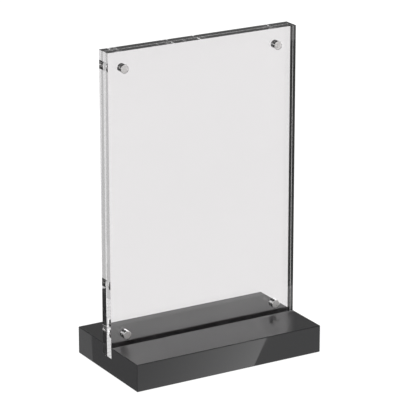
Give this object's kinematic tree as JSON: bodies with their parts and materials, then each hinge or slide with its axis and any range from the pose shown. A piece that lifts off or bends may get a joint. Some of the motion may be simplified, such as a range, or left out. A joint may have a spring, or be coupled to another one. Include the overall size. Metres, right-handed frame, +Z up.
{
  "type": "photo stand",
  "caption": "Upright clear photo stand: magnet-held clear panels standing in the slot of a low black base, with the front panel lifting out.",
  "frame": {"origin": "middle of the base's underside, which rests on the table", "axes": "+Z up, +X along the width, -Y towards the viewer, +Y towards the rear"},
  "size_m": [0.148, 0.085, 0.23],
  "materials": {
    "black_base": "gloss",
    "clear_panel": "polished",
    "nickel_magnet": "satin"
  },
  "bodies": {
    "stand": {"base": "black_base", "rear_panel": "clear_panel", "rear_magnet_top_left": "nickel_magnet", "rear_magnet_top_right": "nickel_magnet", "rear_magnet_bottom_left": "nickel_magnet", "rear_magnet_bottom_right": "nickel_magnet"},
    "front_leaf": {"front_panel": "clear_panel", "front_magnet_top_left": "nickel_magnet", "front_magnet_top_right": "nickel_magnet", "front_magnet_bottom_left": "nickel_magnet", "front_magnet_bottom_right": "nickel_magnet"}
  },
  "joints": [
    {"name": "front_panel_lift", "type": "slide", "parent": "stand", "child": "front_leaf", "axis": [0, 0, 1], "range_m": [0, 0.22]}
  ]
}
